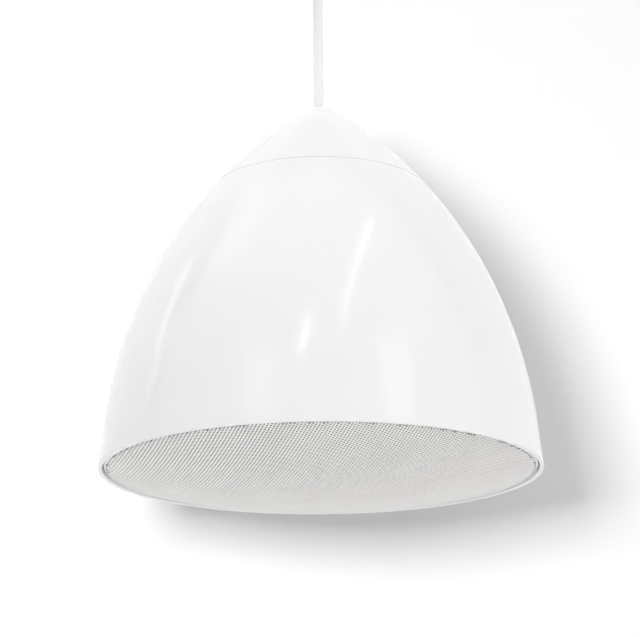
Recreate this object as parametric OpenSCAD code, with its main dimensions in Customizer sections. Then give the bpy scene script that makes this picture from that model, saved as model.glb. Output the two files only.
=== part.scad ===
// Pendant speaker: a moulded bell with a loose top cap, a domed perforated grille,
// a coaxial driver, a line transformer with crossover, and a taut cord to a ceiling fitting.
// Millimetres. The origin is the centre of the ceiling fitting's flat face, +Z is up.

/* [Bell] */
// Outer radius of the bell at its lip
lip_r = 153.5; // [150:0.5:158]
// Lean of the straight lower flank, in degrees from upright
flank_lean = 6; // [5:0.5:7]
// Height of the straight lower flank
flank_h = 30.5; // [26:0.5:36]
// Height of the seam between bell and top cap above the lip
seam_h = 203; // [196:0.5:208]
// Outer radius of the bell at the seam
seam_r = 80.3; // [79:0.1:84]
// Wall thickness of the bell
bell_wall = 3; // [2.6:0.1:3.4]
// Wall thickness of the lip, around the grille
lip_wall = 2.9; // [2.5:0.1:3]
// Depth of the rebate that the grille sits in
rebate_depth = 8; // [7:0.5:10]
// Thickness of the deck that closes the bell's top
deck_thick = 4; // [3:0.5:6]
// Number of screw bosses behind the baffle
boss_count = 6; // [4:1:8]

/* [Top cap] */
// Height of the crown's centre above the seam
cap_h = 54.3; // [53:0.1:58]
// Radius of the arc that the cap's side follows
cap_arc_r = 336; // [300:1:400]
// Wall thickness of the cap
cap_wall = 2.4; // [2:0.1:3]
// Open seam between bell and cap
seam_gap = 0.2; // [0.1:0.1:0.6]
// Radius of the rounded crown around the cord
crown_r = 16; // [13:0.5:20]
// Height of the collar that centres the cap
collar_h = 6; // [4:0.5:8]

/* [Grille] */
// Open gap between lip and grille
grille_gap = 1; // [0.8:0.1:1.5]
// How far the grille domes out below the lip
grille_sag = 18.9; // [14:0.5:24]
// How far the grille's rim sits above the lip
grille_rise = 1.2; // [0.8:0.1:1.6]
// Thickness of the perforated sheet
sheet = 1; // [0.8:0.1:1.2]
// Radius of the grille's rolled edge
edge_round = 2; // [1.6:0.1:3]
// Thickness of the cloth behind the grille
cloth_thick = 0.4; // [0.3:0.1:0.8]

/* [Baffle and ports] */
// Thickness of the baffle
baffle_thick = 4; // [3:0.5:6]
// Thickness of the foam ring behind the baffle
baffle_seal = 1; // [0.6:0.1:2]
// Distance of each port's axis from the centre
port_offset = 112; // [108:1:114]
// Inner radius of a port
port_r = 15; // [11:0.5:16]
// Length of a port tube
port_len = 64; // [40:1:80]

/* [Driver] */
// Outer radius of the driver's flange
driver_r = 84; // [82:0.5:88]
// Depth from the flange's front to the rear of the frame
frame_depth = 50; // [46:0.5:56]
// Thickness of the flange
flange_thick = 3; // [2.5:0.1:4]
// Radius of the voice coil's former
coil_r = 13; // [12.5:0.1:15]
// Radius of the ferrite ring magnet
magnet_r = 40; // [37:0.5:44]
// Thickness of the ferrite ring magnet
magnet_thick = 15; // [12:0.5:18]
// Radius of the tweeter's housing
tweeter_r = 18; // [17:0.5:20]

/* [Terminal plate] */
// Width of the shelf outside the terminal plate, for the yoke's feet
shelf_w = 28.3; // [27.5:0.1:29.5]
// How far the terminal plate laps over the deck
plate_lap = 8; // [7.5:0.1:8]
// Thickness of the terminal plate
plate_thick = 3; // [2.5:0.5:4]
// Thickness of the seal under the terminal plate
plate_seal = 1; // [0.6:0.1:1.5]
// Drop of the hanger yoke's roof below the crown's centre
yoke_drop = 14.3; // [13.3:0.1:15.3]
// Width of the yoke's steel strip
yoke_w = 18; // [16:0.5:22]
// Thickness of the yoke's steel strip
yoke_thick = 2.5; // [2:0.1:3]

/* [Line transformer and crossover] */
// Width of the transformer's core
core_w = 48; // [44:1:50]
// Height of the transformer's core
core_h = 40; // [36:1:42]
// Thickness of the stack of laminations
core_stack = 20; // [16:1:22]
// Distance from the terminal plate to the circuit board
board_drop = 54; // [52:0.5:60]

/* [Cord and ceiling fitting] */
// Diameter of the cord
cord_d = 7; // [6:0.1:7.4]
// Height of the ceiling above the bell's lip
hang_h = 405; // [400:1:440]
// Outer radius of the ceiling canopy
canopy_r = 56; // [54:0.5:62]
// Height of the ceiling canopy
canopy_h = 33; // [31:0.5:36]
// Thickness of the canopy's sheet
canopy_wall = 1.5; // [1:0.1:2]
// Distance between the two ceiling screws
ceiling_screw_gap = 76; // [70:1:80]

/* [Hidden] */
$fn = 96;

// Clearances
slip = 0.15;      // between pieces that slide over each other
seat = 0.3;       // between a piece and what it rests on
thread_gap = 0.05;

// Bell outline: a straight leaning flank, then an arc up to the seam
bend_r = lip_r - flank_h * tan(flank_lean);
bend_in = bend_r - seam_r;
bend_up = seam_h - flank_h;
side_arc_r = (bend_in * bend_in + bend_up * bend_up) / 2
  / (bend_in * cos(flank_lean) - bend_up * sin(flank_lean));
arc_x = bend_r - side_arc_r * cos(flank_lean);
arc_z = flank_h - side_arc_r * sin(flank_lean);

// Cap outline: an arc from the seam that runs into the round crown
crown_z = seam_h + cap_h;
cap_chord = norm([seam_r, cap_h]);
cap_along = (pow(cap_arc_r, 2) - pow(cap_arc_r - crown_r, 2) + pow(cap_chord, 2)) / 2 / cap_chord;
cap_across = sqrt(pow(cap_arc_r, 2) - pow(cap_along, 2));
cap_x = seam_r - (cap_along * seam_r + cap_across * cap_h) / cap_chord;
cap_z = seam_h + (cap_along * cap_h - cap_across * seam_r) / cap_chord;
crown_angle = atan2(crown_z - cap_z, -cap_x);
lip_round = 0.4;
edge_break = 0.2;
side_steps = 18;
cap_steps = 9;
cap_foot = seam_h + seam_gap;
cord_r = cord_d / 2;
cap_hole_r = cord_r + 0.7;
collar_wall = 2.5;
ledge_thick = 3;

wadding_thick = 10;
wadding_clear = 27;

// Heights above the lip, from the baffle up
baffle_z = rebate_depth;
baffle_top = baffle_z + baffle_thick;
ledge_z = baffle_top + baffle_seal;
deck_z = seam_h - deck_thick;
plate_z = seam_h + plate_seal;
plate_top = plate_z + plate_thick;

// Grille
grille_r = lip_r - lip_wall / cos(flank_lean) - grille_gap;
dome_depth = grille_sag + grille_rise;
dome_r = (grille_r * grille_r + dome_depth * dome_depth) / (2 * dome_depth);
dome_z = dome_r - grille_sag;
edge_z = dome_z - sqrt(pow(dome_r - edge_round, 2) - pow(grille_r - edge_round, 2));
edge_angle = atan2(edge_z - dome_z, grille_r - edge_round);
grille_top = rebate_depth - seat;

// Baffle and its screws
baffle_r = wall_r(baffle_top, bell_wall) - 0.4;
rim_r = grille_r - sheet - slip;
rim_wall = 2.6;
rim_z = grille_rise + 1.6;
boss_r = 4.5;
boss_h = 15;
screw_r = 1.6;
head_r = 3.2;
head_h = 2.2;
// The bosses stand clear of the wall, and their screws' heads of the baffle's rim
boss_pcd = min(wall_r(ledge_z + boss_h, bell_wall) - boss_r, rim_r - rim_wall - head_r) - seat;
ledge_r = boss_pcd - boss_r - 1.5;

// Driver, from its flange back
cutout_r = driver_r - 11;
driver_seal = 0.8;
flange_back = baffle_z - driver_seal;
flange_z = flange_back - flange_thick;
frame_back = flange_z + frame_depth;
driver_screw_r = driver_r - 4.5;
driver_screw_count = 8;
frame_wall = 2;
spider_rise = 16;
spider_z = frame_back - spider_rise;
frame_step_r = cutout_r - 15;
spider_thick = 0.6;
spider_wave = 1.2;
spider_land = 4;
spider_edge = 6;
spider_r = frame_step_r - 8;
roll_r = 5.5;
roll_inset = 18;
roll_mid = driver_r - roll_inset;
roll_thick = 0.6;
roll_z = flange_z - 0.1;
cone_rim = roll_mid - roll_r;
cone_thick = 0.8;
cone_z = roll_z + 0.1;
neck_drop = 11;
neck_z = spider_z - neck_drop;
former_thick = 0.3;
front_plate_thick = 6;
gap_play = 0.8;
coil_thick = 0.7;
coil_len = 12;
magnet_z = frame_back + front_plate_thick;
back_z = magnet_z + magnet_thick;
back_thick = 6;
coil_mid = frame_back + front_plate_thick / 2;
pole_r = coil_r - former_thick - 0.4;
post_r = 3.9;
post_head_r = 7;
post_head_h = 4;

// Tweeter on its post, in front of the cone's neck
tweeter_clear = 11;
tweeter_back = neck_z - tweeter_clear;
tweeter_depth = 14;
tweeter_front = tweeter_back - tweeter_depth;
tweeter_wall = 1.5;
tweeter_dome_r = tweeter_r - 5.3;
tweeter_dome_sag = 4;

// Terminal strip on the driver's frame
terminal_z = flange_back + 15;
terminal_h = 9;
terminal_w = 18;
terminal_thick = 3;
tab_len = 7;
tab_thick = 0.8;

// Ports
port_wall = 2;
port_end = baffle_z + port_len;

// Terminal plate and what it carries
plate_r = seam_r - shelf_w;
deck_hole_r = plate_r - plate_lap;
plate_screw_r = (plate_r + deck_hole_r) / 2;
socket_x = deck_hole_r - 18;
socket_w = 22;
socket_deep = 12;
socket_h = 8;
plug_h = 14;
pole_pitch = 5.08;
plug_z = plate_top + socket_h + seat;
wire_hole_z = plug_z + 7;
switch_x = 14 - deck_hole_r;
switch_size = 18;
switch_h = 12;
bushing_r = 4.5;
bushing_h = 9;
shaft_r = 3;
knob_r = 8;
knob_h = 12;
knob_z = plate_top + bushing_h - plate_thick + 0.6;
core_x = 4;
core_top = plate_z - 2.2;
core_z = core_top - core_h;
strap_thick = 1.2;
strap_w = 14;
foot_len = 11;
board_z = plate_z - board_drop;
board_thick = 1.6;
board_w = 56;
board_l = 66;
post_x = 23;
post_y = 29;
board_post_r = 2.8;
foot_y = core_w / 2 + foot_len / 2 + 1.4;
coil_side_x = 17;
bobbin_r = 11;
bobbin_h = 11;
cheek_thick = 1;
capacitor_x = 21;
capacitor_r = 5.5;
capacitor_l = 20;
resistor_w = 7;
resistor_l = 20;

// Hanger yoke on the deck, and the cord grip in it
collar_r = cap_r(seam_h + collar_h, cap_wall) - seat;
foot_out = sqrt(pow(collar_r - collar_wall - seat, 2) - pow(yoke_w / 2, 2));
foot_in = plate_r + 1.2;
yoke_hole = (foot_out + foot_in) / 2;
yoke_top = crown_z - yoke_drop;
roof_half = 13;
knee_z = plate_top + 1;
leg_run = (foot_in - roof_half) / (yoke_top - knee_z);
leg_level = yoke_thick * sqrt(1 + leg_run * leg_run);
grip_thread_r = 7.5;
grip_hex_r = 12;
grip_hex_h = 5;
grip_top = yoke_top + yoke_thick + grip_hex_h;
grip_nut_h = 10;
grip_bore_r = cord_r + 0.1;
hanger_boss_r = 6;
hanger_boss_h = 12;
hanger_screw_r = 2.4;
hanger_screw_l = yoke_thick + deck_thick + hanger_boss_h - 3;
hanger_head_r = 4.4;
hanger_head_h = 3;

// Ceiling fitting
canopy_foot = hang_h - canopy_h;
canopy_neck_r = 10;
canopy_side_h = 12;
nipple_r = 6.5;
nipple_bore_r = cord_r + 0.7;
nipple_in = 2.8;
ceiling_grip_r = 9;
ceiling_grip_h = 6;
bracket_l = 96;
bracket_w = 20;
bracket_thick = 2.5;
bracket_boss_r = 10;
bracket_boss_h = 7;
ceiling_hole_r = 2.6;

// Cord: straight up the axis, from inside the cap to inside the ceiling fitting
cord_foot = yoke_top - 7;
cord_head = hang_h - 14;
cord_rings = 10;
cord_sides = 12;
conductor_r = 0.9;
// Route of each conductor from the cord's end to the plug: [out, aside, above the plug's wire hole]
conductor_route = [[1, 1.3, 12], [2, 1.5, 9], [5, 2, 5], [10, 2.5, 1.5], [15, 2.54, 0.2], [19, 2.54, 0]];
// Route of each driver wire: [out, aside, above the lip]
driver_wire_r = 1.1;
driver_wire_aside = 3;
driver_wire_out = cutout_r - 7;
driver_wire_in = socket_x - 4;
driver_wire_route = [[driver_wire_out, terminal_z + terminal_h + 2.8],
  [driver_wire_out + 2, frame_back - 4], [driver_wire_out + 2, back_z],
  [driver_wire_out - 6, board_z - 45], [driver_wire_in + 22, board_z - 24],
  [driver_wire_in + 6, board_z - 14], [driver_wire_in, board_z - 7], [driver_wire_in, board_z]];

WHITE = [0.93, 0.93, 0.93];
DARK = [0.12, 0.12, 0.13];
STEEL = [0.72, 0.73, 0.75];
ZINC = [0.6, 0.6, 0.58];
COPPER = [0.72, 0.42, 0.22];

// Radius of the bell, a given depth inside its outer face, at height z
function wall_r(z, depth) =
  z < arc_z + (side_arc_r - depth) * sin(flank_lean)
    ? lip_r - depth / cos(flank_lean) - z * tan(flank_lean)
    : arc_x + sqrt(pow(side_arc_r - depth, 2) - pow(z - arc_z, 2));
function side_angle(z, depth) = asin((z - arc_z) / (side_arc_r - depth));
// Radius and angle of the cap's side, a given depth inside its outer face, at height z
function cap_r(z, depth) = cap_x + sqrt(pow(cap_arc_r - depth, 2) - pow(z - cap_z, 2));
function cap_angle(z, depth) = asin((z - cap_z) / (cap_arc_r - depth));
// Points of an arc from angle a to angle b
function arc(x, z, r, a, b, steps) =
  [for (i = [0:steps]) let (t = a + (b - a) * i / steps) [x + r * cos(t), z + r * sin(t)]];
// Points of a ring around p, across direction t
function ring(p, t, r, sides, aside) =
  let (d = t / norm(t), u = cross(aside, d) / norm(cross(aside, d)), v = cross(d, u))
  [for (k = [0:sides - 1]) p + r * (cos(k * 360 / sides) * u + sin(k * 360 / sides) * v)];

module at_lip() translate([0, 0, -hang_h]) children();

module at(x, y, z) translate([x, y, z]) children();

module around(count, r, turn = 0)
  for (i = [0:count - 1]) rotate(turn + i * 360 / count) translate([r, 0, 0]) children();

module disc(r, h, hole = 0) difference() {
  cylinder(r = r, h = h);
  if (hole > 0) translate([0, 0, -1]) cylinder(r = hole, h = h + 2);
}

module block(size, z = 0) translate([-size[0] / 2, -size[1] / 2, z]) cube(size);

// Round tube swept along a route; aside is a direction that the route never follows
module tube(route, r, sides, aside = [0, 1, 0]) {
  n = len(route);
  rings = [for (i = [0:n - 1])
    ring(route[i], route[min(i + 1, n - 1)] - route[max(i - 1, 0)], r, sides, aside)];
  polyhedron(
    points = [for (one = rings) for (p = one) p],
    faces = concat(
      [[for (k = [0:sides - 1]) k]],
      [for (i = [0:n - 2]) for (k = [0:sides - 1]) let (m = (k + 1) % sides)
        [i * sides + k, (i + 1) * sides + k, (i + 1) * sides + m, i * sides + m]],
      [[for (k = [sides - 1:-1:0]) (n - 1) * sides + k]]));
}

// Pan-head screw that points up, with its head's seat at z = 0
module screw(r, length, head, high) difference() {
  union() {
    cylinder(r = r, h = length);
    translate([0, 0, -high]) cylinder(r = head, h = high);
  }
  for (turn = [0, 90]) rotate(turn) block([head * 1.2, 0.8, high * 0.5 + 0.1], -high - 0.1);
}

// The same screw pointing down, with its head's seat at z = 0
module screw_down(r, length, head, high) mirror([0, 0, 1]) screw(r, length, head, high);

module hex_nut(corner_r, h, hole) difference() {
  cylinder(r = corner_r, h = h, $fn = 6);
  translate([0, 0, -1]) cylinder(r = hole, h = h + 2);
}

// Bell

module enclosure() color(WHITE) at_lip() difference() {
  union() {
    rotate_extrude($fn = 180) polygon(concat(
      arc(wall_r(0, lip_wall) + lip_round, lip_round, lip_round, 180, 270, 4),
      arc(lip_r - lip_round * (1 + sin(flank_lean)) / cos(flank_lean), lip_round, lip_round,
        270, 360 + flank_lean, 5),
      arc(arc_x, arc_z, side_arc_r, flank_lean, side_angle(seam_h - edge_break, 0), side_steps),
      [[seam_r - edge_break, seam_h], [collar_r, seam_h], [collar_r, seam_h + collar_h],
        [collar_r - collar_wall, seam_h + collar_h], [collar_r - collar_wall, seam_h],
        [deck_hole_r, seam_h], [deck_hole_r, deck_z]],
      arc(arc_x, arc_z, side_arc_r - bell_wall, side_angle(deck_z, bell_wall), flank_lean,
        side_steps),
      [[wall_r(ledge_z + ledge_thick, bell_wall), ledge_z + ledge_thick],
        [ledge_r, ledge_z + ledge_thick], [ledge_r, ledge_z], [wall_r(ledge_z, bell_wall), ledge_z],
        [wall_r(rebate_depth, bell_wall), rebate_depth],
        [wall_r(rebate_depth, lip_wall), rebate_depth]]));
    around(boss_count, boss_pcd, 30) at(0, 0, ledge_z + 1) cylinder(r = boss_r, h = boss_h - 1, $fn = 32);
    around(2, yoke_hole, 90) at(0, 0, deck_z - hanger_boss_h)
      cylinder(r = hanger_boss_r, h = hanger_boss_h + 0.5, $fn = 40);
    around(4, plate_screw_r, 45) at(0, 0, deck_z - 6) cylinder(r = 3.6, h = 6.5, $fn = 32);
  }
  around(boss_count, boss_pcd, 30) at(0, 0, ledge_z - 1)
    cylinder(r = screw_r + thread_gap, h = boss_h - 1, $fn = 24);
  around(2, yoke_hole, 90) at(0, 0, deck_z - hanger_boss_h + 2)
    cylinder(r = hanger_screw_r + thread_gap, h = hanger_boss_h + deck_thick, $fn = 24);
  around(4, plate_screw_r, 45) at(0, 0, deck_z - 4)
    cylinder(r = screw_r + thread_gap, h = deck_thick + 5, $fn = 24);
}

module top_cap() color(WHITE) at_lip() rotate_extrude($fn = 180) polygon(concat(
  [[cap_r(cap_foot, 0) - edge_break, cap_foot]],
  arc(cap_x, cap_z, cap_arc_r, cap_angle(cap_foot + edge_break, 0), crown_angle, cap_steps),
  arc(0, crown_z, crown_r, crown_angle, acos((cap_hole_r + edge_break) / crown_r), 6),
  [[cap_hole_r, crown_z + sqrt(crown_r * crown_r - cap_hole_r * cap_hole_r) - edge_break]],
  arc(0, crown_z, crown_r - cap_wall, acos(cap_hole_r / (crown_r - cap_wall)), crown_angle, 5),
  arc(cap_x, cap_z, cap_arc_r - cap_wall, crown_angle, cap_angle(cap_foot, cap_wall), cap_steps)));

// Grille and cloth

// Shell of the dome between two depths behind its outer face
module dome_shell(near, far, rim_depth, top) rotate_extrude($fn = 180) polygon(concat(
  arc(0, dome_z, dome_r - near, -90, edge_angle, 14),
  arc(grille_r - edge_round, edge_z, edge_round - near, edge_angle, 0, 4),
  [[grille_r - near, top], [grille_r - rim_depth, top]],
  arc(grille_r - edge_round, edge_z, edge_round - rim_depth, 0, edge_angle, 4),
  arc(0, dome_z, dome_r - far, edge_angle, -90, 14)));

module grille() color(WHITE) at_lip() dome_shell(0, sheet, sheet, grille_top);

module grille_cloth() color([0.5, 0.5, 0.5]) at_lip() rotate_extrude($fn = 120) {
  cloth_r = rim_r - rim_wall - 1;
  near = dome_r - sheet - 0.1;
  far = near - cloth_thick;
  polygon(concat(
    arc(0, dome_z, near, -90, -acos(cloth_r / near), 12),
    arc(0, dome_z, far, -acos(cloth_r / far), -90, 12)));
}

// Baffle

module baffle() color(DARK) at_lip() difference() {
  union() {
    at(0, 0, baffle_z) cylinder(r = baffle_r, h = baffle_thick, $fn = 180);
    at(0, 0, rim_z) disc(rim_r, baffle_z - rim_z + 0.2, rim_r - rim_wall, $fn = 180);
  }
  at(0, 0, rim_z - 1) cylinder(r = cutout_r, h = baffle_top);
  around(boss_count, boss_pcd, 30) at(0, 0, rim_z) cylinder(r = screw_r + 0.3, h = baffle_top, $fn = 24);
  around(driver_screw_count, driver_screw_r, 22.5) at(0, 0, rim_z)
    cylinder(r = screw_r + thread_gap, h = baffle_top, $fn = 24);
  around(2, port_offset) at(0, 0, rim_z) cylinder(r = port_r + port_wall + 0.1, h = baffle_top);
}

module baffle_gasket() color(DARK) at_lip() at(0, 0, baffle_top) difference() {
  disc(baffle_r - 0.6, baffle_seal, ledge_r + 0.5, $fn = 120);
  around(boss_count, boss_pcd, 30) at(0, 0, -1)
    cylinder(r = screw_r + 0.3, h = baffle_seal + 2, $fn = 24);
}

module baffle_screws() color(ZINC) at_lip() around(boss_count, boss_pcd, 30) at(0, 0, baffle_z)
  screw(screw_r, baffle_thick + baffle_seal + boss_h - 4, head_r, head_h, $fn = 24);

// Port tube with the flange that holds it behind the baffle
module port_tube(side) color(DARK) at_lip() at(side * port_offset, 0, 0) difference() {
  union() {
    at(0, 0, baffle_z) cylinder(r = port_r + port_wall, h = port_len);
    at(0, 0, baffle_top) cylinder(r = port_r + port_wall + 3, h = 2);
  }
  at(0, 0, baffle_z - 1) cylinder(r = port_r, h = port_len + 2);
  at(0, 0, baffle_z - 0.01) cylinder(r1 = port_r + 1.5, r2 = port_r, h = 4);
}

module port_tube_left() port_tube(-1);

module port_tube_right() port_tube(1);

// Driver

module driver_basket() color(DARK) at_lip() difference() {
  step_r = frame_step_r;
  rotate_extrude() polygon([
    [roll_mid + roll_r - 1, flange_z], [driver_r, flange_z], [driver_r, flange_back],
    [cutout_r - 1, flange_back], [cutout_r - 1, flange_back + 6], [step_r, spider_z],
    [step_r, spider_z + frame_wall + 0.6], [magnet_r + 10, frame_back], [coil_r + 7, frame_back],
    [coil_r + 7, frame_back - frame_wall], [magnet_r + 8, frame_back - frame_wall],
    [step_r - 3.4, spider_z + frame_wall + 0.6], [spider_r - 4, spider_z + frame_wall + 0.6],
    [spider_r - 4, spider_z + 0.6], [step_r - 2.6, spider_z + 0.6],
    [cutout_r - 3.5, flange_back + 6.5], [roll_mid + roll_r - 1, flange_back]]);
  around(driver_screw_count, driver_screw_r, 22.5) at(0, 0, flange_z - 1)
    cylinder(r = screw_r + 0.3, h = flange_thick + 2, $fn = 24);
  for (turn = [30:60:330]) rotate(turn) at(step_r - 12, -13, flange_back + 9)
    cube([30, 26, spider_z - flange_back - 13]);
}

module driver_gasket() color(DARK) at_lip() at(0, 0, flange_back) difference() {
  disc(driver_r - 0.5, driver_seal, cutout_r + 0.5);
  around(driver_screw_count, driver_screw_r, 22.5) at(0, 0, -1)
    cylinder(r = screw_r + 0.3, h = driver_seal + 2, $fn = 24);
}

module driver_screws() color(ZINC) at_lip() around(driver_screw_count, driver_screw_r, 22.5)
  at(0, 0, flange_z) screw(screw_r, baffle_top - flange_z, head_r, head_h, $fn = 24);

module surround() color(DARK) at_lip() rotate_extrude() polygon(concat(
  [[roll_mid + roll_r + 4.5, roll_z]],
  [[roll_mid + roll_r + 4.5, roll_z - roll_thick], [roll_mid + roll_r, roll_z - roll_thick]],
  arc(roll_mid, roll_z - roll_thick, roll_r, 0, -180, 16),
  [[cone_rim - 3, roll_z - roll_thick], [cone_rim - 3, roll_z]],
  [[cone_rim + roll_thick, roll_z]],
  arc(roll_mid, roll_z - roll_thick, roll_r - roll_thick, -180, 0, 16),
  [[roll_mid + roll_r - roll_thick, roll_z]]));

module cone() color([0.2, 0.2, 0.22]) at_lip() rotate_extrude() polygon([
  [cone_rim - 0.2, cone_z], [cone_rim - 0.2, cone_z + cone_thick], [cone_rim - 3, cone_z + cone_thick],
  [coil_r + slip + cone_thick, neck_z + cone_thick / 2], [coil_r + slip + cone_thick, neck_z + 3],
  [coil_r + slip, neck_z + 3], [coil_r + slip, neck_z], [cone_rim - 3 - cone_thick, cone_z]]);

module spider() color([0.75, 0.6, 0.3]) at_lip() rotate_extrude() {
  inner = coil_r + slip;
  first = inner + spider_land;
  run = spider_r - spider_edge - first;
  waves = [for (i = [0:32])
    [first + run * i / 32, spider_z + spider_wave * sin(4 * 360 * i / 32)]];
  polygon(concat(
    [[inner, spider_z]], waves, [[spider_r, spider_z], [spider_r, spider_z + spider_thick]],
    [for (i = [32:-1:0]) waves[i] + [0, spider_thick]], [[inner, spider_z + spider_thick]]));
}

module voice_coil_former() color([0.75, 0.6, 0.3]) at_lip() at(0, 0, neck_z - 0.5)
  disc(coil_r, coil_mid + coil_len / 2 - neck_z + 0.5, coil_r - former_thick);

module voice_coil_winding() color(COPPER) at_lip() at(0, 0, coil_mid - coil_len / 2)
  disc(coil_r + coil_thick, coil_len, coil_r + 0.02);

module front_plate() color(ZINC) at_lip() at(0, 0, frame_back)
  disc(magnet_r - 4, front_plate_thick, coil_r + coil_thick + gap_play);

module driver_magnet() color(DARK) at_lip() at(0, 0, magnet_z)
  disc(magnet_r, magnet_thick, magnet_r / 2);

module pole_piece() color(ZINC) at_lip() difference() {
  union() {
    at(0, 0, back_z) cylinder(r = magnet_r - 4, h = back_thick);
    at(0, 0, frame_back) cylinder(r = pole_r, h = back_z - frame_back + 1);
  }
  at(0, 0, frame_back - 1) cylinder(r = post_r + 0.1, h = back_z);
}

// Strip with two tabs on the frame's side
module driver_terminals() color(DARK) at_lip() {
  knee = flange_back + 6;
  low = terminal_z;
  high = low + terminal_h;
  lean = (cutout_r - 1 - frame_step_r) / (spider_z - knee);
  low_x = cutout_r - 1 - (low - knee) * lean + slip;
  high_x = cutout_r - 1 - (high - knee) * lean + slip;
  back_x = low_x + terminal_thick;
  rotate([90, 0, 0]) linear_extrude(terminal_w, center = true)
    polygon([[low_x, low], [back_x, low], [back_x, high], [high_x, high]]);
  for (side = [-1, 1]) at(back_x - 0.5, side * driver_wire_aside - tab_thick / 2, low + 2)
    cube([tab_len + 0.5, tab_thick, 5]);
}

module driver_wires() color([0.7, 0.1, 0.1]) at_lip() for (side = [-1, 1])
  tube([for (p = driver_wire_route) [p[0], side * driver_wire_aside, p[1]]], driver_wire_r, 8);

// Tweeter

// Bolt through the driver's pole that carries the tweeter
module tweeter_post() color(STEEL) at_lip() {
  at(0, 0, tweeter_back) cylinder(r = post_r, h = back_z + back_thick - tweeter_back + 0.5, $fn = 40);
  at(0, 0, back_z + back_thick) cylinder(r = post_head_r, h = post_head_h, $fn = 6);
}

module tweeter_housing() color(DARK) at_lip() difference() {
  at(0, 0, tweeter_front + 2.7) cylinder(r = tweeter_r, h = tweeter_depth - 2.7);
  at(0, 0, tweeter_front) cylinder(r = tweeter_r - tweeter_wall, h = tweeter_depth - 2);
}

module tweeter_magnet() color(STEEL) at_lip() at(0, 0, tweeter_back - 8)
  cylinder(r = tweeter_dome_r - 0.7, h = 6);

module tweeter_dome() color([0.3, 0.3, 0.32]) at_lip() rotate_extrude() {
  land = tweeter_front + 3;
  r = (pow(tweeter_dome_r, 2) + pow(tweeter_dome_sag, 2)) / (2 * tweeter_dome_sag);
  z = land - tweeter_dome_sag + r;
  polygon(concat(
    arc(0, z, r, -90, -acos(tweeter_dome_r / r), 8),
    [[tweeter_r - tweeter_wall - 1, land - 0.3], [tweeter_r - tweeter_wall - 1, land]],
    arc(0, z, r - 0.3, -acos(tweeter_dome_r / r), -90, 8)));
}

module tweeter_ring() color(DARK) at_lip() rotate_extrude() polygon([
  [tweeter_dome_r + 0.5, tweeter_front + 2.7], [tweeter_dome_r + 1.2, tweeter_front],
  [tweeter_r, tweeter_front], [tweeter_r, tweeter_front + 2.7]]);

// Wadding glued round the inside of the bell
module wadding() color([0.85, 0.85, 0.82]) at_lip() rotate_extrude() {
  outer = side_arc_r - bell_wall - seat;
  inner = outer - wadding_thick;
  low = port_end + wadding_clear;
  high = deck_z - wadding_clear;
  polygon(concat(
    arc(arc_x, arc_z, outer, asin((low - arc_z) / outer), asin((high - arc_z) / outer), 8),
    arc(arc_x, arc_z, inner, asin((high - arc_z) / inner), asin((low - arc_z) / inner), 8)));
}

// Terminal plate

module four_posts() for (x = [-post_x, post_x]) for (y = [-post_y, post_y]) at(x, y, 0) children();

module terminal_plate() color(DARK) at_lip() difference() {
  at(0, 0, plate_z) cylinder(r = plate_r, h = plate_thick);
  at(0, 0, plate_z - 1) {
    around(4, plate_screw_r, 45) cylinder(r = screw_r + 0.3, h = plate_thick + 2, $fn = 24);
    four_posts() cylinder(r = screw_r + 0.3, h = plate_thick + 2, $fn = 24);
    for (side = [-1, 1]) at(core_x, side * foot_y, 0)
      cylinder(r = screw_r + 0.3, h = plate_thick + 2, $fn = 24);
    at(switch_x, 0, 0) cylinder(r = bushing_r + 0.1, h = plate_thick + 2, $fn = 40);
  }
}

module plate_gasket() color([0.2, 0.2, 0.2]) at_lip() at(0, 0, seam_h) difference() {
  disc(plate_r, plate_seal, deck_hole_r + 0.5);
  around(4, plate_screw_r, 45) at(0, 0, -1) cylinder(r = screw_r + 0.3, h = plate_seal + 2, $fn = 24);
}

module plate_screws() color(ZINC) at_lip() around(4, plate_screw_r, 45) at(0, 0, plate_top)
  screw_down(screw_r, plate_thick + plate_seal + deck_thick + 3.5, head_r, head_h, $fn = 24);

module socket() color([0.1, 0.35, 0.15]) at_lip() at(socket_x, 0, plate_top) difference() {
  block([socket_deep, socket_w, socket_h]);
  block([socket_deep - 3, socket_w - 2, socket_h], socket_h - 5);
}

module plug() color([0.1, 0.4, 0.18]) at_lip() at(socket_x, 0, plug_z) difference() {
  union() {
    block([socket_deep, socket_w, plug_h]);
    block([socket_deep - 3 - 2 * slip, socket_w - 2 - 2 * slip, 5], -4.6);
  }
  for (i = [-1.5:1:1.5]) at(0, i * pole_pitch, 0) {
    at(-socket_deep / 2 - 1, 0, wire_hole_z - plug_z) rotate([0, 90, 0])
      cylinder(r = 1.4, h = 8, $fn = 24);
    at(0, 0, plug_h - 4) cylinder(r = 1.9, h = 5, $fn = 24);
  }
}

module plug_screws() color(STEEL) at_lip() for (i = [-1.5:1:1.5])
  at(socket_x, i * pole_pitch, plug_z + plug_h - 4) difference() {
    cylinder(r = 1.8, h = 3.4, $fn = 24);
    block([4, 0.5, 1], 2.6);
  }

module cord_conductors() color(COPPER) at_lip() for (side = [-1, 1])
  tube(concat([[1, side * 1.3, cord_foot]],
    [for (p = conductor_route) [p[0], side * p[1], wire_hole_z + p[2]]]), conductor_r, 8);

// Switch that picks the transformer's tap
module tap_switch() color(DARK) at_lip() at(switch_x, 0, 0) difference() {
  union() {
    at(0, 0, plate_z - switch_h) block([switch_size, switch_size, switch_h]);
    at(0, 0, plate_z - 1) cylinder(r = bushing_r, h = bushing_h + 1, $fn = 40);
  }
  at(0, 0, plate_z - switch_h + 3) cylinder(r = shaft_r + 0.05, h = switch_h + bushing_h, $fn = 40);
}

module tap_switch_nut() color(ZINC) at_lip() at(switch_x, 0, plate_top)
  hex_nut(7.5, 2, bushing_r + thread_gap);

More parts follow.
